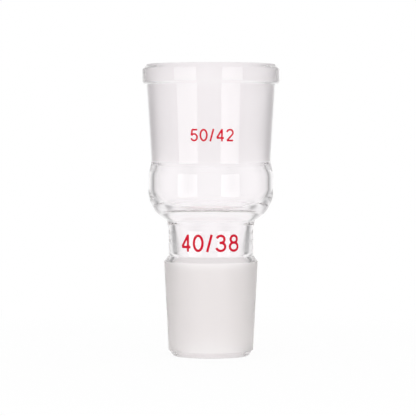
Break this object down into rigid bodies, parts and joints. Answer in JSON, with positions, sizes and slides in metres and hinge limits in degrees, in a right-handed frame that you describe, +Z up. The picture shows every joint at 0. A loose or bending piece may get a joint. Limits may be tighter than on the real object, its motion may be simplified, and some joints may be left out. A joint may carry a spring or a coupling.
{
  "type": "ground-joint glass expansion adapter",
  "caption": "Straight blown-glass adapter: a wide ground socket with a beaded mouth above, a rounded clear bulb and short neck, and a smaller ground cone below, with one bore right through.",
  "frame": {"origin": "centre of the tip's flat end, on the axis of the bore: the lowest point of the part as it stands", "axes": "+Z up the bore, from the cone's tip to the socket's mouth; the printed figures face -Y, towards the viewer"},
  "size_m": [0.0586, 0.0586, 0.1244],
  "materials": {
    "clear_glass": "clear borosilicate glass, fire-polished",
    "ground_glass": "ground matte on the joint's face",
    "red_enamel": "fired red enamel print"
  },
  "bodies": {
    "root": {"glass_adapter": "clear_glass"}
  },
  "joints": []
}
